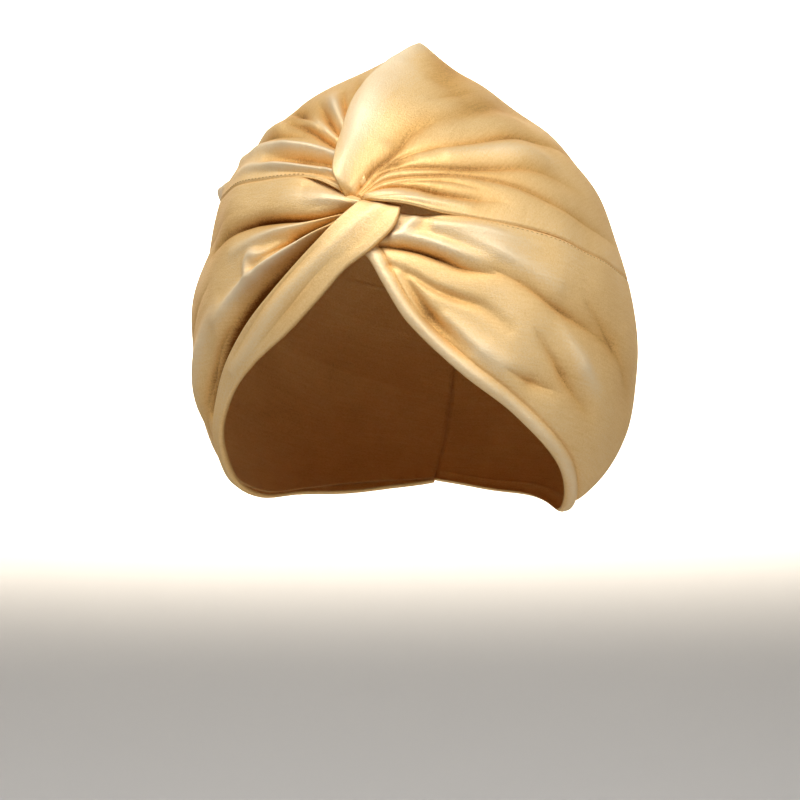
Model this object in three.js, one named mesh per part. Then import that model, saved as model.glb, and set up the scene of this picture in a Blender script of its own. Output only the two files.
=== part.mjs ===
// A twist-front satin turban headwrap, hollow and open below, as it stands on a head.
//
// Five pieces of doubled cloth cover a rounded head form. Two crown halves and two lower wraps run
// back from a knot over the forehead to a seam at the centre back. A folded strap crosses the knot
// and follows the lower edge round the wearer's right side to the same seam.
//
// Millimetres and degrees. +Z is up and the knot faces -Y. The origin is the centre of the head
// opening, level with the lowest edge of the cloth. An azimuth is 0 at the knot, 90 towards +X and
// 180 at the back; an elevation is 0 level with the form's centre and 90 at the top.
import * as THREE from "three";

// Driving dimensions
const CLOTH = 1.6; // thickness of the doubled satin
const SEAM_GAP = 0.8; // between two pieces that are sewn edge to edge
const FORM_CENTRE = new THREE.Vector3(0, 0, 90);
const FORM_RADIUS = 108; // mean radius, which turns a small angle into a length
const MIN_REACH = 1e-6; // keeps the form's radius finite exactly above its centre

// Outer radius of the wrapped head, a row for each elevation of the form.
const FORM = [
  { elevation: -62, left: 108, right: 110, front: 100, back: 100 },
  { elevation: -45, left: 114, right: 117, front: 106, back: 106 },
  { elevation: -30, left: 111, right: 115, front: 108, back: 110 },
  { elevation: -15, left: 104, right: 108, front: 109, back: 114 },
  { elevation: 0, left: 100, right: 103, front: 109, back: 116 },
  { elevation: 18, left: 97, right: 100, front: 112, back: 116 },
  { elevation: 35, left: 102, right: 101, front: 114, back: 114 },
  { elevation: 50, left: 105, right: 103, front: 112, back: 111 },
  { elevation: 65, left: 108, right: 105, front: 112, back: 110 },
  { elevation: 78, left: 111, right: 112, front: 114, back: 112 },
  { elevation: 90, left: 120, right: 120, front: 120, back: 120 },
];

// Sections across each piece, a row for each, from the knot to the far end. upper and lower are the
// azimuth and elevation of its two edges; rise and fall are how far those edges stand off the form.
const CROWN_RIGHT_SECTIONS = [
  { upper: [-6, 30.5], lower: [-1, 28.8], rise: 8, fall: 8 },
  { upper: [-9, 38], lower: [9, 27.7], rise: 6.5, fall: 8 },
  { upper: [-13, 50], lower: [20, 26.4], rise: 5, fall: 2 },
  { upper: [-13, 62], lower: [47, 23], rise: 4, fall: 0 },
  { upper: [-8, 76], lower: [79, 14], rise: 4, fall: 0 },
  { upper: [40, 87.5], lower: [110, 5], rise: 4, fall: 0 },
  { upper: [178, 76], lower: [145, -1], rise: 3.5, fall: 0 },
  { upper: [179.6, 60], lower: [179.8, -3], rise: 2, fall: 0 },
];
const CROWN_LEFT_SECTIONS = [
  { upper: [-1, 33], lower: [-7, 31], rise: 0, fall: 1 },
  { upper: [-2, 39], lower: [-12, 33.3], rise: -0.5, fall: 1 },
  { upper: [-5, 50], lower: [-19, 35], rise: -1, fall: 1 },
  { upper: [-2, 62], lower: [-40, 35], rise: -1, fall: 0 },
  { upper: [15, 76], lower: [-70, 31], rise: -1, fall: 0 },
  { upper: [70, 86], lower: [-105, 21], rise: -1, fall: 0 },
  { upper: [174, 76], lower: [-145, 6], rise: -1.5, fall: 0 },
  { upper: [-179.6, 60], lower: [-179.8, -3], rise: -1.5, fall: 0 },
];
const WRAP_LEFT_SECTIONS = [
  { upper: [-2, 29.2], lower: [0, 25], rise: 1, fall: -2 },
  { upper: [-10, 31.6], lower: [-8, 17], rise: 1.5, fall: -4 },
  { upper: [-19, 35], lower: [-20, 4], rise: 1, fall: -4 },
  { upper: [-40, 35], lower: [-34, -10], rise: 0, fall: -2.5 },
  { upper: [-70, 31], lower: [-50, -26], rise: 0, fall: -2 },
  { upper: [-105, 21], lower: [-82, -47], rise: 0, fall: -1.5 },
  { upper: [-145, 6], lower: [-130, -54], rise: 0, fall: -1.5 },
  { upper: [-179.8, -3], lower: [-179.7, -56], rise: 0, fall: -1.5 },
];
const WRAP_RIGHT_SECTIONS = [
  { upper: [3, 27], lower: [-2, 18], rise: -1.5, fall: -2.5 },
  { upper: [11, 28.5], lower: [4, 13], rise: -1.5, fall: -1 },
  { upper: [20, 25.9], lower: [12, 1], rise: 0, fall: 0 },
  { upper: [47, 23], lower: [30, -15], rise: 0, fall: 0 },
  { upper: [79, 14], lower: [54, -31.5], rise: 0, fall: 0 },
  { upper: [110, 5], lower: [78, -49], rise: 0, fall: 0 },
  { upper: [145, -1], lower: [122, -55], rise: 0, fall: 0 },
  { upper: [179.8, -3], lower: [179.7, -57], rise: 0, fall: 0 },
];
const STRAP_SECTIONS = [
  { upper: [0, 30], lower: [9, 29], rise: 3.7, fall: 3.7 },
  { upper: [-5, 24], lower: [6.5, 20.5], rise: 6.4, fall: 6.2 },
  { upper: [-13, 15], lower: [-5, 11], rise: 6.4, fall: 6.2 },
  { upper: [-24, 3.5], lower: [-17, -1], rise: 5.6, fall: 4.6 },
  { upper: [-38, -12], lower: [-33, -14.5], rise: 5, fall: 4 },
  { upper: [-52, -28], lower: [-53, -32], rise: 4, fall: 4 },
  { upper: [-75, -42], lower: [-79, -47], rise: 4, fall: 4 },
  { upper: [-124, -50], lower: [-126, -55.5], rise: 4, fall: 4 },
  { upper: [-179.7, -52.5], lower: [-179.7, -58], rise: 3.5, fall: 3.5 },
];

// Folds, a row for each. path lists the azimuths and elevations it runs through; width and height
// are taken at its start and end. A ridge is rounded, a valley has a sharp bottom, and a lap drops
// sharply on the left of its path and slopes away on the right.
const CROWN_RIGHT_FOLDS = [
  { kind: "valley", width: [3, 9], height: [-2, -2.5],
    path: [[0, 39], [7, 46], [19, 54], [34, 57], [74, 62], [140, 50]] },
  { kind: "valley", width: [3, 8], height: [-1.5, -2],
    path: [[4, 38], [15, 43], [29, 47], [48, 50], [77, 48], [120, 36]] },
  { kind: "valley", width: [2, 6], height: [-1.5, -2],
    path: [[1, 33], [16, 38], [40, 40], [66, 37], [100, 26]] },
  { kind: "valley", width: [3, 4], height: [-1, -1.5],
    path: [[8, 32], [16, 31], [30, 31]] },
  { kind: "ridge", width: [4, 7], height: [0.5, 3],
    path: [[-12, 66], [-2, 80], [60, 88], [178, 78]] },
  { kind: "valley", width: [12, 12], height: [-2.5, -1.5],
    path: [[40, 74], [80, 80], [130, 76]] },
  { kind: "valley", width: [6, 10], height: [-2, -0.5],
    path: [[176, 20], [150, 26], [115, 30]] },
];
const CROWN_LEFT_FOLDS = [
  { kind: "ridge", width: [3, 5], height: [1, 2],
    path: [[-9, 39.5], [-20, 43], [-30, 44], [-50, 45], [-85, 42]] },
  { kind: "valley", width: [4, 4], height: [-2, -1],
    path: [[-9, 37.5], [-19, 40], [-32, 41]] },
  { kind: "ridge", width: [3, 4], height: [1, 1],
    path: [[-8, 35.5], [-17, 37], [-30, 39], [-50, 39]] },
  { kind: "valley", width: [3, 6], height: [-2.5, -1.5],
    path: [[-10, 46], [-15, 47], [-23, 50], [-40, 54], [-80, 57]] },
  { kind: "valley", width: [3, 6], height: [-2, -1],
    path: [[-11, 50], [-19, 53], [-29, 59], [-60, 66]] },
  { kind: "valley", width: [4, 5], height: [-1.5, -1],
    path: [[-5, 66], [-14, 68], [-55, 76]] },
  { kind: "ridge", width: [6, 5], height: [5, 4],
    path: [[-74, 37], [-88, 33], [-100, 29]] },
  { kind: "valley", width: [6, 10], height: [-2, -0.5],
    path: [[-176, 20], [-150, 28], [-115, 36]] },
];
const WRAP_LEFT_FOLDS = [
  { kind: "valley", width: [3, 5], height: [-3, -2],
    path: [[-8, 26.5], [-16, 25.5], [-32, 25], [-42, 22.5], [-56, 15]] },
  { kind: "ridge", width: [4, 6], height: [1.5, 3],
    path: [[-6, 24.5], [-19, 19], [-29, 14]] },
  { kind: "lap", width: [5, 8], height: [2, 4],
    path: [[-54, -19], [-43, -8], [-35, 0], [-27, 8], [-18, 14], [-8, 21.5]] },
  { kind: "ridge", width: [5, 6], height: [1, 1.5],
    path: [[-31, 4], [-42, -3], [-54, -13], [-70, -27]] },
  { kind: "valley", width: [6, 10], height: [-3, -1],
    path: [[-176, -44], [-150, -36], [-110, -22]] },
  { kind: "valley", width: [6, 10], height: [-2, -0.5],
    path: [[-176, -26], [-150, -16], [-110, 2]] },
];
const WRAP_RIGHT_FOLDS = [
  { kind: "ridge", width: [5, 7], height: [1.5, 2],
    path: [[13, 23.5], [17, 22], [26, 19]] },
  { kind: "lap", width: [8, 8], height: [1, 2],
    path: [[33, 13], [26, 14], [20, 16.5], [12, 19]] },
  { kind: "valley", width: [4, 6], height: [-1.5, -1.5],
    path: [[10, 13], [16, 9], [22, 7], [27, 5.5], [32, 0]] },
  { kind: "valley", width: [4, 4], height: [-2, -1],
    path: [[4, 15], [8, 10], [13, 4], [20, -4], [30, -12]] },
  { kind: "valley", width: [6, 6], height: [-1.5, -1.5],
    path: [[44, -3], [49, -10], [55, -17], [63, -23]] },
  { kind: "valley", width: [6, 10], height: [-3, -1],
    path: [[176, -44], [150, -36], [110, -20]] },
  { kind: "valley", width: [6, 10], height: [-2, -0.5],
    path: [[176, -24], [150, -16], [115, -8]] },
];

// across and along count the faces of one side. rolls are the edges that are folded inwards.
const PIECES = [
  { name: "crown_right", across: 24, along: 16, rolls: ["upper"],
    sections: CROWN_RIGHT_SECTIONS, folds: CROWN_RIGHT_FOLDS },
  { name: "crown_left", across: 24, along: 15, rolls: [],
    sections: CROWN_LEFT_SECTIONS, folds: CROWN_LEFT_FOLDS },
  { name: "wrap_right", across: 22, along: 16, rolls: ["lower"],
    sections: WRAP_RIGHT_SECTIONS, folds: WRAP_RIGHT_FOLDS },
  { name: "wrap_left", across: 22, along: 16, rolls: [],
    sections: WRAP_LEFT_SECTIONS, folds: WRAP_LEFT_FOLDS },
  { name: "twist_strap", across: 6, along: 28, rolls: ["upper", "lower"],
    sections: STRAP_SECTIONS, folds: [] },
];
const ROLL = { width: 3, depth: 1.8 }; // a folded edge turns in by depth over about width
const EDGE_SHARE = 0.35; // the share of a piece's width over which an edge's rise dies away
const LAP_STEEPNESS = 6; // how many times faster a lap drops than it slopes away
const STRAIGHT_STEPS = 24; // straight steps along a fold's path, to measure from

const SATIN = { color: 0xd9b679, roughness: 0.38, metalness: 0.25 };

function direction([azimuth, elevation]) {
  const a = THREE.MathUtils.degToRad(azimuth);
  const e = THREE.MathUtils.degToRad(elevation);
  return new THREE.Vector3(Math.sin(a) * Math.cos(e), -Math.cos(a) * Math.cos(e), Math.sin(e));
}

// The cubic between two values that leaves and arrives with the given slopes, at s from 0 to 1.
function cubic(start, end, leaving, arriving, s) {
  const eased = s * s * (3 - 2 * s);
  const away = s * (1 - s) * (1 - s) * leaving;
  const into = s * s * (s - 1) * arriving;
  return (1 - eased) * start + eased * end + away + into;
}

// The smooth curve through evenly spaced values, at t from 0 to 1.
function through(values, t) {
  const last = values.length - 1;
  const i = Math.min(Math.floor(t * last), last - 1);
  const slope = (k) => {
    const before = Math.max(k - 1, 0);
    const after = Math.min(k + 1, last);
    return (values[after] - values[before]) / (after - before);
  };
  return cubic(values[i], values[i + 1], slope(i), slope(i + 1), t * last - i);
}

function directionThrough(points, t) {
  const at = (axis) => through(points.map((p) => p[axis]), t);
  return new THREE.Vector3(at("x"), at("y"), at("z")).normalize();
}

// The form's radius: the elevation's row is interpolated, and each quarter of it is part of an ellipse.
function formRadius(dir) {
  const elevation = THREE.MathUtils.radToDeg(Math.asin(THREE.MathUtils.clamp(dir.z, -1, 1)));
  const bounded = THREE.MathUtils.clamp(elevation, FORM[0].elevation, FORM[FORM.length - 1].elevation);
  const row = Math.min(FORM.findLastIndex((r) => r.elevation <= bounded), FORM.length - 2);
  const span = FORM[row + 1].elevation - FORM[row].elevation;
  const s = (bounded - FORM[row].elevation) / span;
  const slope = (k, side) => {
    const before = FORM[Math.max(k - 1, 0)];
    const after = FORM[Math.min(k + 1, FORM.length - 1)];
    return ((after[side] - before[side]) / (after.elevation - before.elevation)) * span;
  };
  const radius = (side) =>
    cubic(FORM[row][side], FORM[row + 1][side], slope(row, side), slope(row + 1, side), s);
  const flat = Math.max(Math.hypot(dir.x, dir.y), MIN_REACH);
  const sideways = dir.x / flat / radius(dir.x < 0 ? "left" : "right");
  const lengthways = dir.y / flat / radius(dir.y < 0 ? "front" : "back");
  return 1 / Math.hypot(sideways, lengthways);
}

// A fold with its path worked out as directions, ready to be measured from.
function prepared(fold) {
  const points = fold.path.map(direction);
  const steps = Array.from({ length: STRAIGHT_STEPS + 1 }, (_, i) =>
    directionThrough(points, i / STRAIGHT_STEPS),
  );
  return { ...fold, steps };
}

// How far a fold moves the cloth in or out in this direction.
function foldHeight(fold, dir) {
  let best = { distance: Infinity, share: 0, side: 1 };
  for (let i = 0; i < STRAIGHT_STEPS; i += 1) {
    const start = fold.steps[i];
    const run = fold.steps[i + 1].clone().sub(start);
    const offset = dir.clone().sub(start);
    const share = THREE.MathUtils.clamp(offset.dot(run) / run.lengthSq(), 0, 1);
    const miss = offset.clone().addScaledVector(run, -share);
    const distance = miss.length() * FORM_RADIUS;
    if (distance < best.distance) {
      const side = Math.sign(miss.clone().cross(run).dot(dir)) || 1;
      best = { distance, share: (i + share) / STRAIGHT_STEPS, side };
    }
  }
  const height = THREE.MathUtils.lerp(fold.height[0], fold.height[1], best.share);
  const reach = best.distance / THREE.MathUtils.lerp(fold.width[0], fold.width[1], best.share);
  if (fold.kind === "ridge") return height * Math.exp(-reach * reach);
  if (fold.kind === "valley") return height * Math.exp(-reach * Math.sqrt(1 + reach));
  return height * Math.exp(best.side > 0 ? -reach : -LAP_STEEPNESS * reach);
}

// A point of a piece's outer side. u runs across it from the upper edge and v along it from the knot.
function clothPoint(piece, folds, u, v) {
  const upper = directionThrough(piece.sections.map((s) => direction(s.upper)), v);
  const lower = directionThrough(piece.sections.map((s) => direction(s.lower)), v);
  const angle = upper.angleTo(lower);
  const inset = SEAM_GAP / 2 / FORM_RADIUS / angle;
  const w = inset + (1 - 2 * inset) * u;
  const dir = upper.clone().multiplyScalar(Math.sin((1 - w) * angle));
  dir.addScaledVector(lower, Math.sin(w * angle)).normalize();
  const rise = through(piece.sections.map((s) => s.rise), v);
  const fall = through(piece.sections.map((s) => s.fall), v);
  const near = (share) => Math.exp(-((share / EDGE_SHARE) ** 2));
  let lift = rise * near(u) + fall * near(1 - u);
  for (const fold of folds) lift += foldHeight(fold, dir);
  const turnIn = (share) => {
    const reach = (share * angle * FORM_RADIUS) / ROLL.width;
    return ROLL.depth * Math.exp(-reach * reach);
  };
  if (piece.rolls.includes("upper")) lift -= turnIn(u);
  if (piece.rolls.includes("lower")) lift -= turnIn(1 - u);
  return { dir, radius: formRadius(dir) + lift };
}

// A closed wall of cloth: the outer side, the inner side a thickness below it, and the rim between.
function clothGeometry(piece) {
  const { across, along } = piece;
  const folds = piece.folds.map(prepared);
  const outer = [];
  const inner = [];
  for (let j = 0; j <= along; j += 1) {
    for (let i = 0; i <= across; i += 1) {
      const { dir, radius } = clothPoint(piece, folds, i / across, j / along);
      outer.push(dir.clone().multiplyScalar(radius).add(FORM_CENTRE));
      inner.push(dir.clone().multiplyScalar(radius - CLOTH).add(FORM_CENTRE));
    }
  }
  const points = [...outer, ...inner];
  const count = outer.length;
  const at = (i, j) => j * (across + 1) + i;
  const triangles = [];
  const face = (a, b, c, d) => triangles.push(a, b, c, a, c, d);
  for (let j = 0; j < along; j += 1) {
    for (let i = 0; i < across; i += 1) {
      const [a, b, c, d] = [at(i, j), at(i + 1, j), at(i + 1, j + 1), at(i, j + 1)];
      face(a, b, c, d);
      face(count + d, count + c, count + b, count + a);
    }
  }
  const rim = [];
  for (let i = 0; i < across; i += 1) rim.push(at(i, 0));
  for (let j = 0; j < along; j += 1) rim.push(at(across, j));
  for (let i = across; i > 0; i -= 1) rim.push(at(i, along));
  for (let j = along; j > 0; j -= 1) rim.push(at(0, j));
  rim.forEach((a, k) => {
    const b = rim[(k + 1) % rim.length];
    face(a, count + a, count + b, b);
  });
  const geometry = new THREE.BufferGeometry().setFromPoints(points);
  geometry.setIndex(facingOut(points, triangles) ? triangles : triangles.reverse());
  geometry.computeVertexNormals();
  return geometry;
}

// Six times the volume that the triangles enclose is positive when they face out.
function facingOut(points, triangles) {
  let sixfold = 0;
  for (let k = 0; k < triangles.length; k += 3) {
    const [a, b, c] = [points[triangles[k]], points[triangles[k + 1]], points[triangles[k + 2]]];
    sixfold += a.dot(b.clone().cross(c));
  }
  return sixfold > 0;
}

const turban = new THREE.Group();
for (const piece of PIECES) {
  const mesh = new THREE.Mesh(clothGeometry(piece), new THREE.MeshStandardMaterial(SATIN));
  mesh.name = piece.name;
  turban.add(mesh);
}

export default turban;
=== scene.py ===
"""The looks of a twist-front satin turban: five pieces of doubled cloth around the hollow for a head.

Shapes are worked out in millimetres on the same rounded head form as the solids, and reach Blender in
metres. An azimuth is 0 at the knot, 90 towards +X and 180 at the back. An elevation is 0 level with
the form's centre and 90 at the top.
"""
import math
from collections import namedtuple

import bpy
import numpy as np
from mathutils import Matrix, Vector


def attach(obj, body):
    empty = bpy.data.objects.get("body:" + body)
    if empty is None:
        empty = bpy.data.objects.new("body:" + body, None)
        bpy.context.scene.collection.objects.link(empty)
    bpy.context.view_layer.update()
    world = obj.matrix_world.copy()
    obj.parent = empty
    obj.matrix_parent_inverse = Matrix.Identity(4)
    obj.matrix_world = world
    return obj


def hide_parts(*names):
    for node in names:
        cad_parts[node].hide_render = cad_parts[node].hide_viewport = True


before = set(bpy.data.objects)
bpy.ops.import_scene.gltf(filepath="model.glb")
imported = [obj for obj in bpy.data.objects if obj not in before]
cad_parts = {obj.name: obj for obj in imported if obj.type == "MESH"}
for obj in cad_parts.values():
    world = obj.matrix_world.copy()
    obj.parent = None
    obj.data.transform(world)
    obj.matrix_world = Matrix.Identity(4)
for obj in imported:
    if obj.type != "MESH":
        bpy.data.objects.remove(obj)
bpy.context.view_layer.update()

MM = 0.001

# ---------------------------------------------------------------------------------------- camera

VIEW_AZIMUTH = 12.0  # degrees towards +X
VIEW_ELEVATION = 6.0
VIEW_DISTANCE = 1.4
VIEW_AIM = Vector((0, -0.012, 0.050))  # in front of the opening's centre and above it
VIEW_SHIFT = -0.0023  # how far the aim moves to the camera's right
LENS = 137.0
SENSOR = 36.0


def add_camera():
    azimuth, elevation = math.radians(VIEW_AZIMUTH), math.radians(VIEW_ELEVATION)
    right = Vector((math.cos(azimuth), math.sin(azimuth), 0))
    back = Vector((math.sin(azimuth) * math.cos(elevation), -math.cos(azimuth) * math.cos(elevation),
                   math.sin(elevation)))
    up = back.cross(right)
    place = VIEW_AIM + VIEW_SHIFT * right + VIEW_DISTANCE * back
    data = bpy.data.cameras.new("camera")
    data.lens = LENS
    data.sensor_width = SENSOR
    camera = bpy.data.objects.new("camera", data)
    camera.matrix_world = Matrix.Translation(place) @ Matrix((right, up, back)).transposed().to_4x4()
    bpy.context.scene.collection.objects.link(camera)
    bpy.context.scene.camera = camera
    return right, back


VIEW_RIGHT, VIEW_BACK = add_camera()

# ------------------------------------------------------------------------------------- head form

FORM_CENTRE = np.array((0.0, 0.0, 90.0))
FORM_RADIUS = 108.0  # mean radius, which turns a small angle into a length
POLE_GUARD = 1e-6

# how far the form reaches each way from its centre, at each elevation
Ring = namedtuple("Ring", "elevation left right front back")
FORM = [
    Ring(-62, 108, 110, 100, 100),
    Ring(-45, 114, 117, 106, 106),
    Ring(-30, 111, 115, 108, 110),
    Ring(-15, 104, 108, 109, 114),
    Ring(0, 100, 103, 109, 116),
    Ring(18, 97, 100, 112, 116),
    Ring(35, 102, 101, 114, 114),
    Ring(50, 105, 103, 112, 111),
    Ring(65, 108, 105, 112, 110),
    Ring(78, 111, 112, 114, 112),
    Ring(90, 120, 120, 120, 120),
]


def smooth_through(at, values, x):
    """The smooth curve through values, one row for each place in at, read at x."""
    at, values = np.asarray(at, float), np.asarray(values, float)
    x = np.clip(x, at[0], at[-1])
    i = np.clip(np.searchsorted(at, x, side="right") - 1, 0, len(at) - 2)
    flat = values.reshape(len(at), -1)
    slopes = np.gradient(flat, axis=0) / np.gradient(at)[:, None]
    step = (at[i + 1] - at[i])[..., None]
    s = (x[..., None] - at[i][..., None]) / step
    eased = s * s * (3 - 2 * s)
    curve = (1 - eased) * flat[i] + eased * flat[i + 1]
    curve = curve + s * (1 - s) ** 2 * step * slopes[i] + s * s * (s - 1) * step * slopes[i + 1]
    return curve.reshape(x.shape + values.shape[1:])


def normalized(v):
    return v / np.maximum(np.linalg.norm(v, axis=-1, keepdims=True), POLE_GUARD)


def direction(azimuth, elevation):
    a, e = np.radians(azimuth), np.radians(elevation)
    return np.stack([np.sin(a) * np.cos(e), -np.cos(a) * np.cos(e), np.sin(e)], -1)


def form_radius(dirs):
    """How far the form's surface is from its centre, in each direction."""
    elevation = np.degrees(np.arcsin(np.clip(dirs[..., 2], -1, 1)))
    rings = np.array([ring[1:] for ring in FORM], float)
    left, right, front, back = np.moveaxis(
        smooth_through([ring.elevation for ring in FORM], rings, elevation), -1, 0)
    flat = np.maximum(np.hypot(dirs[..., 0], dirs[..., 1]), POLE_GUARD)
    sideways = dirs[..., 0] / flat / np.where(dirs[..., 0] < 0, left, right)
    lengthways = dirs[..., 1] / flat / np.where(dirs[..., 1] < 0, front, back)
    return 1 / np.maximum(np.hypot(sideways, lengthways), POLE_GUARD)


# ----------------------------------------------------------------------------------------- folds

# A fold runs along path, a list of azimuths and elevations. Its width and height have a value for
# its start, middle and end. A crease has a sharp bottom, and a swell is rounded. A crease's height is
# how deep it goes, and a swell whose height is below 0 is a soft hollow.
Fold = namedtuple("Fold", "kind path width height")
FOLD_STEPS = 40
FOLD_PLACES = (0, 0.5, 1)  # the shares of its path where its width and height are given
CREASE_SHARE, SWELL_SHARE = 2.0, 1.6  # how much of its height a fold gets
FOLD_SPREAD = 0.85  # and of its width
CREASE_LACK, CREASE_EASE = 0.6, 0.06  # the share of its depth that a crease starts without, and how long


def fold_height(fold, dirs):
    points = direction(*np.array(fold.path, float).T)
    spaces = np.linalg.norm(np.diff(points, axis=0), axis=1)
    run = np.concatenate([[0], np.cumsum(spaces)])
    path = normalized(smooth_through(run, points, np.linspace(0, run[-1], FOLD_STEPS + 1)))
    flat = dirs.reshape(-1, 3)
    nearest = np.full(len(flat), np.inf)
    share = np.zeros(len(flat))
    for i in range(FOLD_STEPS):
        step = path[i + 1] - path[i]
        offset = flat - path[i]
        s = np.clip(offset @ step / (step @ step), 0, 1)
        distance = np.linalg.norm(offset - s[:, None] * step, axis=1)
        share = np.where(distance < nearest, (i + s) / FOLD_STEPS, share)
        nearest = np.minimum(nearest, distance)
    width = FOLD_SPREAD * np.interp(share, FOLD_PLACES, fold.width)
    height = np.interp(share, FOLD_PLACES, fold.height)
    reach = nearest * FORM_RADIUS / width
    if fold.kind == "crease":
        start = 1 - CREASE_LACK * np.exp(-share / CREASE_EASE)
        lift = -CREASE_SHARE * height * start * np.exp(-reach)
    else:
        lift = SWELL_SHARE * height * np.exp(-reach * reach)
    return lift.reshape(dirs.shape[:-1])


# Soft unevenness that all the pieces share, so that it runs on across their seams.
LUMPS = 40
LUMP_SEED = 7
LUMP_HEIGHT = 0.11
LUMP_TURNS = (7.0, 22.0)


def lumps(dirs):
    draws = np.random.default_rng(LUMP_SEED)
    height = np.zeros(dirs.shape[:-1])
    for _ in range(LUMPS):
        wave = normalized(draws.normal(size=3)) * draws.uniform(*LUMP_TURNS)
        height += LUMP_HEIGHT * np.sin(dirs @ wave + draws.uniform(0, 2 * math.pi))
    return height


# ---------------------------------------------------------------------------------------- pieces

# A section is a place along a piece, from 0 at the knot to 1 at its far end. upper and lower are the
# azimuth and elevation of the piece's two edges there, and rise and fall how far those edges stand off
# the form.
Section = namedtuple("Section", "at upper lower rise fall")
# upper and lower say how a piece's edge ends: sewn to its neighbour, free, with a rolled hem, or
# tucked under another piece. gathers is about how many small pleats it has at the knot.
Piece = namedtuple("Piece", "sections folds upper lower gathers gather_depth seed")

CROWN_RIGHT = Piece(
    sections=[
        Section(0.00, (-5, 30.0), (-0.5, 28.9), 4.5, 5.5),
        Section(0.05, (-8, 34), (4, 28.1), 5.5, 5.5),
        Section(0.11, (-9.5, 39), (9.5, 27.6), 5.0, 5.5),
        Section(0.22, (-11.5, 47), (20, 26.2), 4.0, 1.5),
        Section(0.34, (-13, 56), (33, 25), 3.4, 0),
        Section(0.45, (-12.5, 65), (48, 23), 3.2, 0),
        Section(0.57, (-9, 76), (72, 16), 3.2, 0),
        Section(0.70, (40, 87.5), (104, 6), 3.2, 0),
        Section(0.86, (178, 76), (145, -1), 2.6, 0),
        Section(1.00, (180, 60), (180, -3), 0, 0),
    ],
    folds=[
        # the panel's own front fold, and the long creases that fan out behind it
        Fold("swell", [(-6, 33), (-6, 45), (-6, 60), (-3, 74)], (3, 8, 12), (0.8, 2.0, 1.0)),
        Fold("crease", [(-2, 31), (0, 35), (2, 38), (7, 43), (12, 49), (19, 53)],
             (1.3, 3, 7), (1.8, 1.9, 0.6)),
        Fold("swell", [(7, 46), (12, 50), (19, 54), (34, 58), (74, 64), (107, 60)],
             (5, 7, 9), (-0.4, -1.5, -0.5)),
        Fold("crease", [(1.8, 35.6), (4, 38), (8, 41), (15, 43.5), (29, 47), (48, 50.5), (77, 50),
                        (104, 42)],
             (1.4, 3.5, 7), (0.5, 1.9, 0.4)),
        Fold("crease", [(-1, 31), (1, 33), (4, 36.5), (9, 38), (16, 38.5), (26, 39), (40, 40), (52, 40),
                        (77, 34)],
             (1.0, 3.4, 7), (1.4, 1.7, 0.4)),
        Fold("swell", [(4, 38), (8, 40), (12, 41)], (2.5, 3.0, 3.5), (-0.4, -1.3, -0.4)),
        Fold("crease", [(-1, 30), (1, 32), (4, 34), (9, 35.3), (16, 36), (25, 36.8), (33, 36.5), (43, 35),
                        (59, 30), (79, 23), (91, 19)],
             (0.9, 2.4, 4), (1.1, 1.4, 0.4)),
        Fold("crease", [(-1, 29.6), (2, 31.4), (6, 32.6), (11, 32.8), (18, 31.4), (27, 30.6), (38, 30)],
             (0.9, 2.6, 4), (1.1, 2.0, 0.3)),
        Fold("crease", [(8, 33.6), (15, 34.6), (23, 34.6), (32, 33)], (1.4, 2.2, 3), (0.3, 0.9, 0.2)),
        Fold("swell", [(1, 30), (6, 30.2), (14, 29.2), (26, 28)], (2.2, 3.2, 4), (0.5, 1.1, 0.4)),
        Fold("swell", [(24, 43), (45, 45), (70, 43)], (5, 6, 8), (0.6, 1.1, 0.3)),
        Fold("crease", [(20, 61), (40, 67), (70, 70)], (5, 7, 8), (0.3, 1.1, 0.3)),
        Fold("swell", [(-12, 66), (-2, 80), (60, 88), (178, 78)], (4, 6, 7), (0.4, 1.6, 0.7)),
        Fold("swell", [(40, 74), (80, 80), (130, 76)], (11, 12, 12), (-1.4, -1.6, -0.9)),
        # the plain back, drawn softly towards its seam
        Fold("crease", [(178, 22), (150, 27), (112, 31)], (5, 8, 10), (0.80, 0.65, 0.10)),
        Fold("crease", [(178, 42), (150, 45), (118, 44)], (5, 8, 10), (0.31, 0.24, 0.04)),
        Fold("crease", [(178, 6), (158, 9), (130, 12)], (4, 7, 9), (0.50, 0.38, 0.08)),
    ],
    upper="free", lower="sewn", gathers=8, gather_depth=0.5, seed=11,
)

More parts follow.
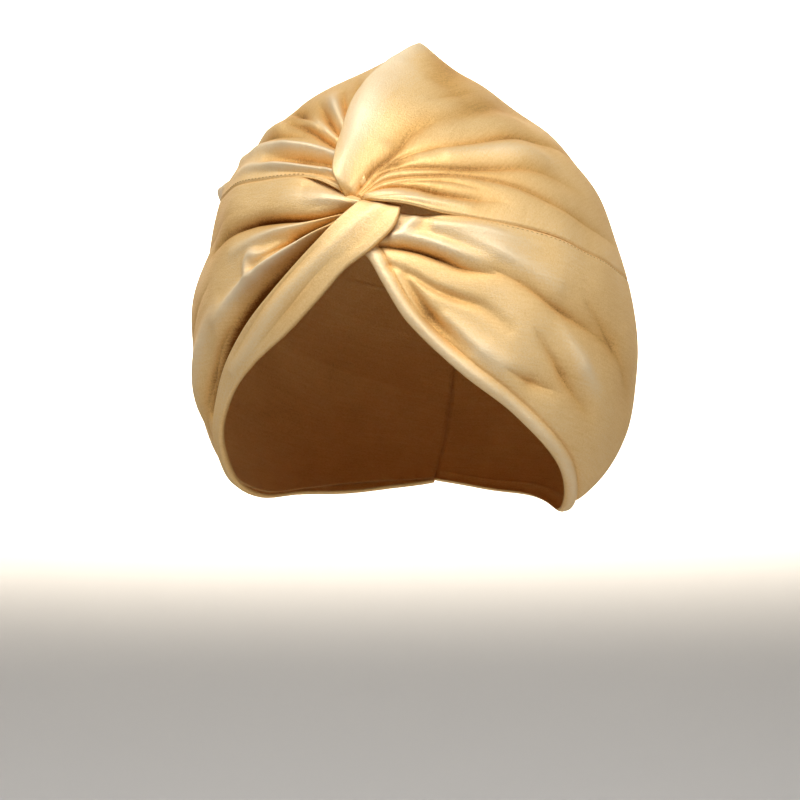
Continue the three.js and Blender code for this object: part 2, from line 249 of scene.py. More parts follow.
CROWN_LEFT = Piece(
    sections=[
        Section(0.00, (1, 32.5), (-5, 30.6), -1, 1.5),
        Section(0.05, (-1, 36), (-8, 31.9), -0.5, 2.0),
        Section(0.11, (-3, 40), (-13, 33.8), -0.3, 1.6),
        Section(0.18, (-5, 45), (-19, 35.1), -0.3, 0.6),
        Section(0.30, (-6, 54), (-29, 35.4), -0.3, 0),
        Section(0.42, (-4, 66), (-44, 34.8), -0.3, 0),
        Section(0.55, (10, 77), (-66, 31.6), -0.3, 0),
        Section(0.70, (70, 86), (-100, 22), -0.3, 0),
        Section(0.86, (174, 76), (-145, 6), -0.5, 0),
        Section(1.00, (180, 60), (180, -3), 0, 0),
    ],
    folds=[
        # the folds and creases that fan out from the knot behind the front edge
        Fold("swell", [(-7, 39.4), (-12, 41.5), (-20, 43.6), (-30, 44.4), (-44, 45), (-60, 45)],
             (2.2, 2.8, 5), (1.8, 2.6, 0.2)),
        Fold("swell", [(-7, 37.6), (-13, 39), (-20, 40.4), (-29, 41.2), (-40, 41)],
             (2.0, 2.8, 4), (-1.6, -2.4, -0.6)),
        Fold("swell", [(-6, 34.9), (-12, 36.3), (-19, 37.3), (-30, 38.6), (-44, 39), (-60, 37.5)],
             (1.6, 2.4, 4), (1.4, 2.0, 0.2)),
        Fold("crease", [(-7, 33.2), (-13, 35.2), (-20, 36.3), (-30, 37)], (1.2, 2.0, 3), (1.2, 0.8, 0.2)),
        Fold("crease", [(-9, 43.4), (-15, 46), (-24, 49.5), (-38, 53), (-56, 54.5)],
             (1.6, 2.2, 3), (2.0, 2.2, 0.4)),
        Fold("crease", [(-10, 46.6), (-18, 51.5), (-28, 57), (-42, 62)], (1.6, 2.2, 3), (2.0, 2.0, 0.4)),
        Fold("crease", [(-10, 51), (-15, 55.5), (-23, 61.5), (-35, 68)], (1.6, 2.2, 3), (1.9, 2.0, 0.4)),
        Fold("crease", [(-10, 57), (-14, 62), (-22, 68), (-45, 75)], (2, 3.4, 5), (1.7, 1.7, 0.5)),
        Fold("crease", [(-20, 49.5), (-36, 55.5), (-54, 58.5), (-80, 56)], (2.4, 4, 6), (0.5, 2.2, 0.1)),
        Fold("crease", [(-26, 48), (-42, 49.5), (-60, 49.5), (-84, 46)], (2.4, 4, 6), (0.5, 2.0, 0.1)),
        Fold("swell", [(-14, 47.6), (-26, 52), (-40, 55.5)], (2.6, 3.8, 5), (1.2, 2.3, 0.5)),
        Fold("swell", [(-13.5, 51.5), (-24, 59), (-38, 65)], (2.6, 3.8, 5), (1.2, 2.3, 0.5)),
        Fold("swell", [(-50, 53), (-66, 52), (-90, 47)], (4, 5, 6), (0.6, 1.2, 0.2)),
        Fold("swell", [(-52, 44), (-66, 43), (-92, 38)], (4, 5, 6), (0.6, 1.0, 0.2)),
        # the little puff above the side seam
        Fold("swell", [(-78, 34), (-89, 31.5), (-101, 27)], (5, 6.5, 6), (1.6, 4.4, 2.0)),
        Fold("crease", [(-72, 39.5), (-85, 38), (-100, 34)], (3, 4, 4), (0.8, 2.2, 0.8)),
        # the plain back
        Fold("crease", [(-178, 22), (-150, 28), (-114, 35)], (5, 8, 10), (0.45, 0.36, 0.06)),
        Fold("crease", [(-178, 42), (-150, 46), (-118, 47)], (5, 8, 10), (0.70, 0.55, 0.10)),
        Fold("crease", [(-178, 6), (-158, 11), (-130, 16)], (4, 7, 9), (0.43, 0.32, 0.07)),
    ],
    upper="tucked", lower="sewn", gathers=6, gather_depth=0.4, seed=12,
)

WRAP_LEFT = Piece(
    sections=[
        Section(0.00, (1.5, 28.8), (2, 24), 1.5, -1.0),
        Section(0.05, (-5, 31.2), (-2, 21), -1.5, -1.5),
        Section(0.11, (-12, 33.6), (-9, 15), -1.8, -2.0),
        Section(0.18, (-19, 35.1), (-17, 7), 0.3, -2.0),
        Section(0.30, (-31, 35.4), (-29, -5), 0, -1.5),
        Section(0.42, (-49, 34.2), (-42, -18), 0, -1.0),
        Section(0.55, (-70, 30.8), (-57, -33.5), 0, -0.8),
        Section(0.70, (-100, 22), (-86, -49), 0, -0.6),
        Section(0.86, (-145, 6), (-132, -55.5), 0, -0.6),
        Section(1.00, (180, -3), (180, -57), 0, -0.6),
    ],
    folds=[
        # the wrinkled tip that comes out of the knot, and the folds that hang from it
        Fold("swell", [(1, 28.6), (-5, 28.9), (-12, 29.4), (-22, 29.8)], (1.6, 3, 5), (0.8, 1.3, 0.3)),
        Fold("crease", [(-1, 27.9), (-5, 27), (-11, 25.4), (-16, 25), (-24, 25), (-33, 24.6), (-44, 22),
                        (-56, 17)],
             (0.9, 2.4, 5), (2.0, 3.4, 0.8)),
        Fold("swell", [(-3, 26.6), (-9, 25), (-15, 23.4), (-27, 21), (-40, 17)],
             (1.5, 2.4, 4), (1.4, 1.8, 0.4)),
        Fold("crease", [(-5, 26), (-12, 23), (-20, 19.2), (-28, 15.2)], (1.0, 2.0, 2.4), (1.2, 2.6, 0.6)),
        Fold("swell", [(-4, 25.6), (-10, 22.6), (-18, 18.0), (-27, 12.4), (-34, 8), (-44, 0)],
             (1.4, 2.6, 5), (1.8, 3.6, 0.8)),
        Fold("swell", [(-19, 19.6), (-27, 16.6), (-31.5, 16), (-32, 12.6), (-27, 10.5)],
             (2.0, 3.2, 2.8), (0.6, 1.7, 0.5)),
        # the deep fold beside the strap, and the slack cloth under it
        Fold("crease", [(-3, 26.6), (-7, 23.2), (-13, 17.6), (-19.5, 11.6), (-28, 4.6), (-36, -3),
                        (-43, -10.5), (-50, -18), (-55, -24)],
             (2.4, 3.8, 2.6), (6.5, 8.0, 2.2)),
        Fold("swell", [(-22, 6.5), (-31, -2), (-40, -11), (-48, -20)], (2.0, 2.4, 3), (0.8, 1.8, 0.6)),
        Fold("crease", [(-38, -1), (-47, -10), (-56, -21), (-64, -32)], (2, 3.4, 5), (0.4, 1.8, 0.4)),
        Fold("swell", [(-44, 4), (-56, -8), (-66, -22)], (5, 6, 7), (0.4, 1.3, 0.4)),
        Fold("crease", [(-50, 10), (-64, -2), (-76, -18), (-84, -32)], (4, 6, 8), (0.3, 1.3, 0.3)),
        Fold("crease", [(-40, 28), (-60, 22), (-84, 10), (-104, -4)], (4, 7, 9), (0.2, 1.0, 0.2)),
        # the plain back
        Fold("crease", [(-178, -44), (-150, -38), (-112, -24)], (5, 8, 10), (0.48, 0.38, 0.05)),
        Fold("crease", [(-178, -28), (-150, -20), (-112, -4)], (5, 8, 10), (0.78, 0.64, 0.09)),
        Fold("crease", [(-178, -13), (-154, -6), (-126, 4)], (4, 7, 9), (0.36, 0.30, 0.06)),
    ],
    upper="sewn", lower="tucked", gathers=6, gather_depth=0.3, seed=13,
)

WRAP_RIGHT = Piece(
    sections=[
        Section(0.00, (0, 28.5), (-5, 21.5), -3, -1.5),
        Section(0.05, (9, 28.0), (1.5, 16.6), -6, 0),
        Section(0.11, (14, 27.0), (5.5, 10.5), -4.5, 0.3),
        Section(0.18, (20, 26.1), (11, 2), 0.2, 0.3),
        Section(0.30, (33, 25), (23, -9.5), 0, 0.3),
        Section(0.42, (47, 23), (38, -20.5), 0, 0.3),
        Section(0.55, (70, 16.6), (57, -34.5), 0, 0.2),
        Section(0.70, (103, 6.4), (84, -51), 0, 0),
        Section(0.86, (145, -1), (126, -55.5), 0, 0),
        Section(1.00, (180, -3), (180, -57), 0, 0),
    ],
    folds=[
        # the upright fold beside the strap, and the creases that fan out from under it
        Fold("swell", [(13, 25.0), (11, 23), (8, 20.5)], (2.6, 3.2, 2.6), (1.2, 1.4, 0.8)),
        Fold("swell", [(18, 24), (28, 23), (44, 19)], (3, 4, 5), (1.0, 1.4, 0.3)),
        Fold("swell", [(8, 21), (14, 20.4), (22, 17.8), (30, 15.6)], (2.4, 3.4, 4), (1.0, 1.9, 0.5)),
        Fold("crease", [(2, 19.2), (8, 18.8), (14, 17.8), (19, 16.2), (25, 13.8), (32, 12.6)],
             (1.2, 1.9, 3.4), (2.0, 2.8, 0.6)),
        Fold("swell", [(18, 23), (27, 20.6), (38, 16), (50, 10)], (3, 4.5, 6), (0.6, 1.5, 0.5)),
        Fold("crease", [(31, 14), (40, 10), (49, 4.5), (60, -1), (72, -7)], (2.4, 3.6, 6), (0.6, 1.7, 0.4)),
        Fold("swell", [(7, 14.6), (12, 12.6), (17, 9.6), (23, 7.2), (29, 5), (35, 0)],
             (1.8, 2.6, 4), (-0.6, -1.5, -0.4)),
        Fold("swell", [(10.5, 12), (13, 8), (17, 2.5), (24, -4.5)], (2.2, 3.2, 4), (-0.8, -2.5, -0.6)),
        Fold("swell", [(20, 3), (28, -4), (38, -11)], (3, 4.5, 6), (0.4, 1.3, 0.4)),
        Fold("crease", [(34, -9), (42, -13), (50, -15.6)], (2, 3, 4), (0.4, 1.5, 0.3)),
        Fold("crease", [(42, 0), (49, -9), (56, -17), (63, -22.4)], (2.4, 3.8, 5), (0.4, 1.8, 0.4)),
        Fold("swell", [(50, 0), (58, -10), (66, -18)], (4, 5, 6), (0.3, 1.4, 0.4)),
        Fold("crease", [(60, 6), (74, -8), (86, -20)], (4, 6, 8), (0.3, 1.4, 0.3)),
        # the plain back
        Fold("crease", [(178, -44), (150, -40), (108, -30)], (5, 8, 10), (0.80, 0.64, 0.08)),
        Fold("crease", [(178, -28), (150, -22), (112, -12)], (5, 8, 10), (0.85, 0.70, 0.10)),
        Fold("crease", [(178, -13), (154, -9), (124, -3)], (4, 7, 9), (0.38, 0.32, 0.06)),
    ],
    upper="sewn", lower="hem", gathers=4, gather_depth=0.12, seed=14,
)

STRAP = Piece(
    sections=[
        Section(0.00, (1, 30.0), (9.5, 28.4), 2.4, 2.4),
        Section(0.035, (-2, 27.0), (9.2, 25.6), 4.4, 4.2),
        Section(0.07, (-5.5, 23.6), (7.6, 22.2), 5.2, 4.6),
        Section(0.11, (-9.5, 19.4), (3.2, 18.0), 5.4, 4.2),
        Section(0.16, (-15, 14.0), (-3, 13.4), 5.4, 3.4),
        Section(0.22, (-22, 6.8), (-9.6, 6.4), 5.2, 2.6),
        Section(0.29, (-30.5, -1.8), (-17.5, -1.0), 4.6, 2.0),
        Section(0.36, (-38, -10.4), (-28, -8.6), 4.0, 1.6),
        Section(0.44, (-45, -19), (-39, -17.5), 3.2, 1.4),
        Section(0.53, (-54, -30), (-50.5, -29.6), 2.4, 1.2),
        Section(0.63, (-70, -42), (-70, -46), 1.8, 1.2),
        Section(0.80, (-112, -50.5), (-113, -55.4), 1.6, 1.2),
        Section(1.00, (-180, -53), (-180, -58), 1.6, 1.2),
    ],
    folds=[
        Fold("swell", [(4, 27), (-2, 21.6), (-9, 14.8), (-17, 7), (-26, -3), (-35, -11)],
             (3, 4, 3), (0.5, 0.9, 0.5)),
        Fold("crease", [(-5, 16), (-11, 10.4), (-18, 3), (-26, -5)], (1.6, 2.2, 2), (0.2, 0.8, 0.2)),
        Fold("crease", [(-9, 18), (-16, 11.6), (-25, 2), (-33, -7)], (1.6, 2.2, 2), (0.2, 0.5, 0.2)),
    ],
    upper="free", lower="free", gathers=3, gather_depth=0.12, seed=15,
)

CLOTH = 1.3  # thickness of the doubled satin
STRAP_CLOTH = 2.4  # the strap is folded over on itself
LEAST_CLOTH = 0.35  # the share of its thickness that cloth keeps in the deepest places
EDGE_SHARE = 0.3  # the share of a piece's width over which an edge's rise dies away
EDGE_REACH = 22.0  # and the furthest that it reaches
LIP_REACH = 2.6  # the reach of an edge that tucks under its neighbour
EDGE_ROUND = 1.1  # radius of a folded edge
SEAM_DEPTH, SEAM_WIDTH = 0.7, 0.9
SEAM_HOLD, SEAM_HOLD_REACH = 0.8, 3.0  # how much a seam holds folds down, and how far from it
HEM_BAND, HEM_SWELL, HEM_CREASE = 7.5, 1.5, 1.3
HEM_MIDDLE, HEM_SPREAD = 0.45, 0.4  # where in its band the hem is fullest, and how widely
HEM_CREASE_WIDTH = 1.0
TUCK_DEPTH, TUCK_REACH = 4.0, 2.2  # how a piece dives into the knot
GATHER_WAVES = (0.7, 1.05, 1.4)  # the waves that add up to a piece's gathers, as shares of their number
GATHER_LEVEL = 0.6
GATHER_DRIFT = 3
GATHER_START, GATHER_REACH = 0.025, 0.16  # the shares of a piece's length where gathers grow and die away
PLAIN_EDGE, PLAIN_EASE = 0.3, 0.25  # the shares of a piece's width beside a free edge that has no gathers
LEVEL_TONE, INNER_TONE = 0.4, 0.6  # on the painted light and shade ramp, the tone of level cloth outside, and the darker one of all the cloth inside
FOLD_FULL_DEPTH = 9.0  # the relief from a ridge with the palest painted highlight down to a fold with the deepest painted shade
INNER_SHARE = 0.45  # how much of a fold shows on the inside
INNER_DROP = 0.4  # and of an edge's drop
PANEL_GRID, STRAP_GRID = (210, 200), (56, 420)  # spaces across and along
EDGE_CROWDING = 0.45  # how much the grid crowds towards a piece's edges
KNOT_CROWDING = 1.25  # and towards the knot


def along_piece(piece, column, v):
    return smooth_through([s.at for s in piece.sections], [getattr(s, column) for s in piece.sections], v)


def edge_dirs(piece, edge, v):
    at = [s.at for s in piece.sections]
    points = direction(*np.array([getattr(s, edge) for s in piece.sections], float).T)
    return normalized(smooth_through(at, points, v))


def gathers(piece, u, v):
    """Small uneven pleats that start at the knot and fade along the piece."""
    draws = np.random.default_rng(piece.seed)
    ripple = np.zeros_like(u)
    for wave in GATHER_WAVES:
        phase = draws.uniform(0, 2 * math.pi)
        drift = draws.uniform(-GATHER_DRIFT, GATHER_DRIFT)
        ripple += np.abs(np.sin(math.pi * piece.gathers * wave * u + phase + drift * v)) - GATHER_LEVEL
    if piece.upper == "free":
        ripple = ripple * np.clip((u - PLAIN_EDGE) / PLAIN_EASE, 0, 1)
    return piece.gather_depth * ripple * (1 - np.exp(-v / GATHER_START)) * np.exp(-v / GATHER_REACH)


def stand_off(piece, u, v, width):
    """How far a piece stands off the form, as its two edges lead it."""
    rise, fall = along_piece(piece, "rise", v), along_piece(piece, "fall", v)
    if piece.lower == "free":
        return (1 - u) * rise + u * fall
    reach = np.minimum(EDGE_SHARE * width, EDGE_REACH)
    upper_reach = np.where(rise < 0, np.minimum(reach, LIP_REACH), reach)
    return (rise * np.exp(-(u * width / upper_reach) ** 2)
            + fall * np.exp(-((1 - u) * width / reach) ** 2))


def finish_edge(edge, distance, relief):
    """The relief with an edge's finish in it, and how far the cloth drops towards that edge."""
    drop = np.zeros_like(distance)
    if edge == "sewn":
        relief = relief * (1 - SEAM_HOLD * np.exp(-(distance / SEAM_HOLD_REACH) ** 2))
        drop = SEAM_DEPTH * np.exp(-(distance / SEAM_WIDTH) ** 2)
    if edge in ("free", "hem"):
        near = np.clip(EDGE_ROUND - distance, 0, EDGE_ROUND)
        drop = EDGE_ROUND - np.sqrt(EDGE_ROUND ** 2 - near ** 2)
    if edge == "hem":
        roll = (distance - HEM_MIDDLE * HEM_BAND) / (HEM_SPREAD * HEM_BAND)
        relief = relief + HEM_SWELL * np.exp(-roll ** 2)
        relief = relief - HEM_CREASE * np.exp(-np.abs(distance - HEM_BAND) / HEM_CREASE_WIDTH)
    return relief, drop


def cloth_grid(piece, grid, cloth):
    """The outer and inner points of a piece of cloth, each one's run along it and distance from the
    upper edge, and its relief."""
    across, along = grid
    evenly = np.linspace(0, 1, across + 1)
    crowded = 0.5 - 0.5 * np.cos(math.pi * evenly)
    v, u = np.meshgrid(np.linspace(0, 1, along + 1) ** KNOT_CROWDING,
                       (1 - EDGE_CROWDING) * evenly + EDGE_CROWDING * crowded, indexing="ij")
    upper, lower = edge_dirs(piece, "upper", v), edge_dirs(piece, "lower", v)
    angle = np.arccos(np.clip(np.sum(upper * lower, -1), -1, 1))
    dirs = np.sin((1 - u) * angle)[..., None] * upper + np.sin(u * angle)[..., None] * lower
    dirs = normalized(dirs)
    width = angle * FORM_RADIUS
    relief = sum(fold_height(fold, dirs) for fold in piece.folds) + gathers(piece, u, v)
    relief, upper_drop = finish_edge(piece.upper, u * width, relief)
    relief, lower_drop = finish_edge(piece.lower, (1 - u) * width, relief)
    steps = np.linalg.norm(np.diff(dirs[:, across // 2], axis=0), axis=1) * FORM_RADIUS
    run = np.concatenate([[0], np.cumsum(steps)])[:, None] * np.ones_like(u)
    drop = upper_drop + lower_drop + TUCK_DEPTH * np.exp(-(run / TUCK_REACH) ** 2)
    base = form_radius(dirs) + stand_off(piece, u, v, width) + lumps(dirs)
    outer = base + relief - drop
    inner = base + INNER_SHARE * relief - cloth - INNER_DROP * drop
    inner = np.minimum(inner, outer - LEAST_CLOTH * cloth)
    points_out = FORM_CENTRE + dirs * outer[..., None]
    points_in = FORM_CENTRE + dirs * inner[..., None]
    return points_out, points_in, run, u * width, relief - drop


def closed_faces(rows, columns):
    """The faces of an outer grid, of the inner grid that follows it, and of the rim between them."""
    count = rows * columns
    index = np.arange(count).reshape(rows, columns)
    a, b = index[:-1, :-1].ravel(), index[:-1, 1:].ravel()
    c, d = index[1:, 1:].ravel(), index[1:, :-1].ravel()
    rim = np.concatenate([index[0, :-1], index[:-1, -1], index[-1, :0:-1], index[:0:-1, 0]])
    after = np.roll(rim, -1)
    return np.concatenate([
        np.stack([a, b, c, d], 1),
        np.stack([d, c, b, a], 1) + count,
        np.stack([rim, rim + count, after + count, after], 1),
    ])


def link_object(name, data):
    made = bpy.data.objects.new(name, data)
    bpy.context.scene.collection.objects.link(made)
    return made


def smooth_faces(mesh):
    mesh.polygons.foreach_set("use_smooth", np.ones(len(mesh.polygons), bool))


def cloth_piece(name, piece, grid, cloth, material):
    """One closed piece of cloth, whose weave runs along it, with a stored tone of painted shade: darker
    down in its folds, paler on its ridges.
    """
    outer, inner, run, side, relief = cloth_grid(piece, grid, cloth)
    points = np.concatenate([outer.reshape(-1, 3), inner.reshape(-1, 3)])
    faces = closed_faces(*run.shape)
    corners = points[faces]
    normals = np.cross(corners[:, 2] - corners[:, 0], corners[:, 3] - corners[:, 1])
    if np.einsum("ij,ij->", corners.mean(1) - FORM_CENTRE, normals) < 0:
        faces = faces[:, ::-1]
    mesh = bpy.data.meshes.new(name)
    mesh.from_pydata((points * MM).tolist(), [], faces.tolist())
    smooth_faces(mesh)
    weave = np.stack([np.tile(run.ravel(), 2), np.tile(side.ravel(), 2)], 1)
    loops = np.zeros(len(mesh.loops), np.int32)
    mesh.loops.foreach_get("vertex_index", loops)
    mesh.uv_layers.new(name="weave").data.foreach_set("uv", (weave[loops] * MM).ravel())
    # painted shade: the tone darkens with a fold's depth and pales to a painted highlight on a ridge, and
    # the inside gets one darker tone
    outer_painted_shade = np.clip(LEVEL_TONE - relief.ravel() / FOLD_FULL_DEPTH, 0, 1)
    depth = np.concatenate([outer_painted_shade, np.full(run.size, INNER_TONE)]).astype(np.float32)
    mesh.attributes.new("fold_depth", "FLOAT", "POINT").data.foreach_set("value", depth)
    mesh.materials.append(material)
    mesh.update()
    return link_object(name, mesh)


# ----------------------------------------------------------------------------------------- nodes


class Wire:
    """A node's output, with arithmetic that adds Math nodes."""

    def __init__(self, nodes, socket):
        self.nodes = nodes
        self.socket = socket

    def _math(self, operation, *values):
        return self.nodes.node("ShaderNodeMath", {"operation": operation}, *values)

    def __add__(self, other):
        return self._math("ADD", self, other)

    def __radd__(self, other):
        return self._math("ADD", other, self)

    def __sub__(self, other):
        return self._math("SUBTRACT", self, other)

    def __rsub__(self, other):
        return self._math("SUBTRACT", other, self)

    def __mul__(self, other):
        return self._math("MULTIPLY", self, other)

    def __rmul__(self, other):
        return self._math("MULTIPLY", other, self)


class Nodes:
    """A node tree and the one way to add a node to it."""

    def __init__(self, tree):
        self.tree = tree

    def node(self, kind, settings, *values, output=0, **named):
        """Adds a node. values go to its first sockets, and named ones to sockets by name. In settings,
        stops are the places and colours of a ramp."""
        made = self.tree.nodes.new(kind)
        for key, value in settings.items():
            if key == "stops":
                ramp = made.color_ramp.elements
                while len(ramp) < len(value):
                    ramp.new(1.0)
                for element, (place, colour) in zip(ramp, value):
                    element.position = place
                    element.color = colour
            else:
                setattr(made, key, value)
        places = list(enumerate(values)) + [(key.replace("_", " "), value) for key, value in named.items()]
        for place, value in places:
            if isinstance(value, Wire):
                self.tree.links.new(value.socket, made.inputs[place])
            else:
                made.inputs[place].default_value = value
        return Wire(self, made.outputs[output]) if made.outputs else made


def new_material(name):
    material = bpy.data.materials.new(name)
    material.use_nodes = True
    material.node_tree.nodes.clear()
    return material, Nodes(material.node_tree)


# ------------------------------------------------------------------------------------- materials

SATIN_TONES_PAINTED_LIGHT_AND_SHADE = [  # the satin's colour with painted light and shade, from a painted highlight on the top of a ridge to painted shade at the bottom of a deep fold
    (0.10, (0.96, 0.79, 0.53, 1)),
    (0.40, (0.91, 0.64, 0.30, 1)),
    (0.65, (0.76, 0.46, 0.16, 1)),
    (0.95, (0.24, 0.10, 0.02, 1)),
]
AMBER_EDGE = (0.55, 0.20, 0.01, 1)  # what the satin turns to where it is seen edge on
THREAD_TONES = [
    (0.0, (0.16, 0.08, 0.02, 1)),
    (1.0, (0.86, 0.55, 0.22, 1)),
]


def satin_material():
    """Golden satin with painted shade down in its folds and a painted highlight on its ridges, with streaks
    and threads along the weave.
    """
    material, nodes = new_material("champagne_satin")
    weave = nodes.node("ShaderNodeUVMap", {"uv_map": "weave"})
    place = nodes.node("ShaderNodeTexCoord", {}, output="Object")

    def woven(scale, detail, roughness):
        stretched = nodes.node("ShaderNodeMapping", {}, Vector=weave, Scale=scale)
        return nodes.node("ShaderNodeTexNoise", {}, Vector=stretched, Scale=1.0, Detail=detail,
                          Roughness=roughness)

    streaks = woven((60, 900, 1), 3.0, 0.6)
    pulls = woven((18, 150, 1), 2.0, 0.5)
    threads = woven((420, 3200, 1), 2.0, 0.6)
    cloudy = nodes.node("ShaderNodeTexNoise", {}, Vector=place, Scale=24.0, Detail=3.0, Roughness=0.55)
    grain = nodes.node("ShaderNodeTexNoise", {}, Vector=place, Scale=1200.0, Detail=2.0, Roughness=0.7)
    # the stored tone of painted shade and painted highlight, with random cloudiness and grain, picks the
    # satin's colour
    depth = nodes.node("ShaderNodeAttribute", {"attribute_name": "fold_depth"}, output="Fac")
    tone = 0.3 * cloudy + 0.25 * streaks + 0.45 * grain
    colour = nodes.node("ShaderNodeValToRGB", {"stops": SATIN_TONES_PAINTED_LIGHT_AND_SHADE}, Fac=depth + 0.8 * (0.5 - tone))
    roughness = 0.44 + 0.10 * streaks + 0.14 * grain
    fine = nodes.node("ShaderNodeBump", {}, Strength=0.7, Distance=0.0003, Height=grain + threads)
    bump = nodes.node("ShaderNodeBump", {}, Strength=0.35, Distance=0.0006, Height=pulls, Normal=fine)
    surface = nodes.node(
        "ShaderNodeBsdfPrincipled", {}, Base_Color=colour, Metallic=0.5, Roughness=roughness,
        Normal=bump, Coat_Weight=0.15, Coat_Roughness=0.35, Coat_IOR=1.6, Specular_IOR_Level=0.0,
        Specular_Tint=AMBER_EDGE, Anisotropic=0.3)
    nodes.node("ShaderNodeOutputMaterial", {}, Surface=surface)
    return material


def thread_material():
    material, nodes = new_material("seam_thread")
    place = nodes.node("ShaderNodeTexCoord", {}, output="Object")
    twist = nodes.node("ShaderNodeTexNoise", {}, Vector=place, Scale=2500.0, Detail=2.0)
    colour = nodes.node("ShaderNodeValToRGB", {"stops": THREAD_TONES}, Fac=twist)
    bump = nodes.node("ShaderNodeBump", {}, Strength=0.4, Distance=0.0001, Height=twist)
    surface = nodes.node("ShaderNodeBsdfPrincipled", {}, Base_Color=colour,
                         Roughness=0.6 + 0.1 * twist, Normal=bump)
    nodes.node("ShaderNodeOutputMaterial", {}, Surface=surface)
    return material


def paper_material():
    material, nodes = new_material("backdrop_paper")
    surface = nodes.node("ShaderNodeBsdfPrincipled", {}, Base_Color=(0.50, 0.50, 0.50, 1), Roughness=0.9)
    nodes.node("ShaderNodeOutputMaterial", {}, Surface=surface)
    return material


# -------------------------------------------------------------------------------------- stitches

STITCH_SIZES = {"Pitch": 2.7 * MM, "Stitch length": 1.5 * MM, "Thread radius": 0.2 * MM}
STITCH_LIFT = 0.02
# A seam's stitches run beside an edge of a piece, offset from it, from start to end along the piece.
Seam = namedtuple("Seam", "piece edge start end offset")
SEAM_STEPS = 240


def seam_points(seam):
    """Points just above the cloth beside a sewn edge."""
    v = np.linspace(seam.start, seam.end, SEAM_STEPS)
    opposite, stand = {"upper": ("lower", "rise"), "lower": ("upper", "fall")}[seam.edge]
    across, beyond = edge_dirs(seam.piece, seam.edge, v), edge_dirs(seam.piece, opposite, v)
    inwards = normalized(beyond - across * np.sum(across * beyond, -1, keepdims=True))
    dirs = normalized(across + inwards * seam.offset / FORM_RADIUS)
    sunk = SEAM_DEPTH * math.exp(-(seam.offset / SEAM_WIDTH) ** 2)
    lift = along_piece(seam.piece, stand, v) + lumps(dirs) - sunk + STITCH_LIFT
    return FORM_CENTRE + dirs * (form_radius(dirs) + lift)[..., None]


def stitch_tree(material):
    """A node tree that lays stitches along the edges of a line."""
    tree = bpy.data.node_groups.new("stitches_along_a_line", "GeometryNodeTree")
    tree.interface.new_socket("Line", in_out="INPUT", socket_type="NodeSocketGeometry")
    for name in STITCH_SIZES:
        tree.interface.new_socket(name, in_out="INPUT", socket_type="NodeSocketFloat")
    tree.interface.new_socket("Stitches", in_out="OUTPUT", socket_type="NodeSocketGeometry")
    nodes = Nodes(tree)
    line, pitch, length, radius = (
        nodes.node("NodeGroupInput", {}, output=name) for name in ("Line", *STITCH_SIZES))
    curve = nodes.node("GeometryNodeMeshToCurve", {}, Mesh=line)
    points = nodes.node("GeometryNodeResampleCurve", {"mode": "LENGTH"}, Curve=curve, Length=pitch)
    tangent = nodes.node("GeometryNodeInputTangent", {})
    turned = nodes.node("FunctionNodeAlignRotationToVector", {"axis": "Z"}, Vector=tangent)
    stitch = nodes.node("GeometryNodeMeshUVSphere", {}, Segments=8, Rings=6, Radius=1.0)
    size = nodes.node("ShaderNodeCombineXYZ", {}, X=radius, Y=radius, Z=0.5 * length)
    placed = nodes.node("GeometryNodeInstanceOnPoints", {}, Points=points, Instance=stitch,
                        Rotation=turned, Scale=size)
    real = nodes.node("GeometryNodeRealizeInstances", {}, Geometry=placed)
    dressed = nodes.node("GeometryNodeSetMaterial", {}, Geometry=real, Material=material)
    nodes.node("NodeGroupOutput", {}, Stitches=dressed)
    return tree


def stitch_row(name, seam, tree):
    """The stitches of one seam, as one mesh."""
    points = seam_points(seam) * MM
    mesh = bpy.data.meshes.new(name + "_line")
    mesh.from_pydata(points.tolist(), [(i, i + 1) for i in range(len(points) - 1)], [])
    line = link_object(name + "_line", mesh)
    modifier = line.modifiers.new("stitches", "NODES")
    modifier.node_group = tree
    for item in tree.interface.items_tree:
        if item.in_out == "INPUT" and item.name in STITCH_SIZES:
            modifier[item.identifier] = STITCH_SIZES[item.name]
    evaluated = line.evaluated_get(bpy.context.evaluated_depsgraph_get())
    stitched = bpy.data.meshes.new_from_object(evaluated)
    stitched.name = name
    smooth_faces(stitched)
    bpy.data.objects.remove(line)
    return link_object(name, stitched)


# ----------------------------------------------------------------------------------------- build

satin = satin_material()

CLOTH_PIECES = [
    ("crown_right", CROWN_RIGHT, PANEL_GRID, CLOTH),
    ("crown_left", CROWN_LEFT, PANEL_GRID, CLOTH),
    ("wrap_right", WRAP_RIGHT, PANEL_GRID, CLOTH),
    ("wrap_left", WRAP_LEFT, PANEL_GRID, CLOTH),
    ("twist_strap", STRAP, STRAP_GRID, STRAP_CLOTH),
]
# the cloth object made for each piece
cloths = {}
for node, piece, grid, cloth in CLOTH_PIECES:
    made = cloth_piece(node + "_satin", piece, grid, cloth, satin)
    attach(made, "root")
    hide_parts(node)
    cloths[node] = made

stitching = stitch_tree(thread_material())
# each piece that carries a row of stitches
SEAMS = {
    "crown_left": ("left_seam_stitches", Seam(CROWN_LEFT, "lower", 0.185, 0.995, 1.3)),
    "wrap_right": ("right_seam_stitches", Seam(WRAP_RIGHT, "upper", 0.185, 0.995, 1.3)),
}
stitch_rows = {}
for node, (name, seam) in SEAMS.items():
    row = stitch_row(name, seam, stitching)
    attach(row, "root")
    stitch_rows[node] = row

for node, made in cloths.items():
    with_pieces = [stitch_rows[node]] if node in stitch_rows else []


# ----------------------------------------------------------------------------------------- stage

FLOOR_DROP = 0.30
FLOOR_RADIUS = 2.3
FLOOR_RINGS = (0.02, 1.2)
SWEEP_RADIUS = 1.0
SWEEP_STEPS = 12
WALL_TOP = 4.0
STAGE_SIDES = 72

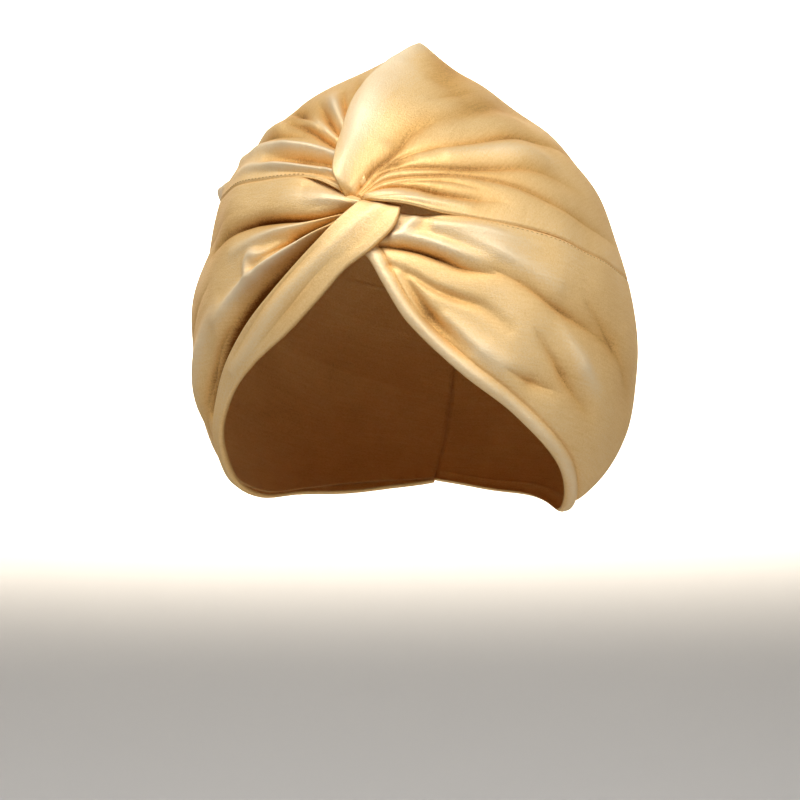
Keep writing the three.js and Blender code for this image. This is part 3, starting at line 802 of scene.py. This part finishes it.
# side, height and forward place a light around the object as the camera sees it, in metres, and
# power is in watts
Light = namedtuple("Light", "name side height forward size power colour target spread")
MIDDLE = Vector((0, 0, 0.09))
WHITE, WARM = (1.0, 0.98, 0.96), (1.0, 0.89, 0.74)
LIGHTS = [
    Light("key", 0.1, 2.0, 1.2, 1.2, 18.5, WHITE, MIDDLE, 120),
    Light("upper_left", -1.1, 1.9, 1.2, 0.9, 13, WHITE, MIDDLE, 120),
    Light("right_fill", 1.5, 0.6, 1.3, 0.9, 4.5, WHITE, MIDDLE, 120),
    Light("backdrop_wash", 0, 1.9, -1.8, 1.2, 104, WARM, Vector((-0.75, 3.2, -0.1)), 90),
]
WORLD_STRENGTH = 0.07


def add_stage():
    """A pale round floor that sweeps up into a wall all the way round."""
    profile = [(radius, -FLOOR_DROP) for radius in FLOOR_RINGS]
    for k in range(SWEEP_STEPS + 1):
        turn = 0.5 * math.pi * k / SWEEP_STEPS
        profile.append((FLOOR_RADIUS + SWEEP_RADIUS * math.sin(turn),
                        SWEEP_RADIUS * (1 - math.cos(turn)) - FLOOR_DROP))
    profile.append((FLOOR_RADIUS + SWEEP_RADIUS, WALL_TOP))
    points, faces = [], [tuple(range(STAGE_SIDES))]
    for radius, height in profile:
        for k in range(STAGE_SIDES):
            turn = 2 * math.pi * k / STAGE_SIDES
            points.append((radius * math.cos(turn), radius * math.sin(turn), height))
    for first in range(0, len(points) - STAGE_SIDES, STAGE_SIDES):
        for k in range(STAGE_SIDES):
            after = (k + 1) % STAGE_SIDES
            faces.append((first + k, first + STAGE_SIDES + k, first + STAGE_SIDES + after, first + after))
    mesh = bpy.data.meshes.new("backdrop")
    mesh.from_pydata(points, [], faces)
    smooth_faces(mesh)
    mesh.materials.append(paper_material())
    link_object("backdrop", mesh)


def add_light(light):
    """A soft square light, turned to face its target."""
    data = bpy.data.lights.new(light.name, "AREA")
    data.shape = "SQUARE"
    data.size = light.size
    data.spread = math.radians(light.spread)
    data.energy = light.power
    data.color = light.colour
    lamp = link_object(light.name, data)
    towards = Vector((VIEW_BACK.x, VIEW_BACK.y, 0)).normalized()
    lamp.location = VIEW_RIGHT * light.side + towards * light.forward + Vector((0, 0, light.height))
    lamp.rotation_euler = (light.target - lamp.location).to_track_quat("-Z", "Y").to_euler()


add_stage()
for light in LIGHTS:
    add_light(light)
world = bpy.data.worlds.new("studio")
world.use_nodes = True
background = world.node_tree.nodes["Background"]
background.inputs["Color"].default_value = (1, 1, 1, 1)
background.inputs["Strength"].default_value = WORLD_STRENGTH
bpy.context.scene.world = world
bpy.context.scene.view_settings.view_transform = "Standard"
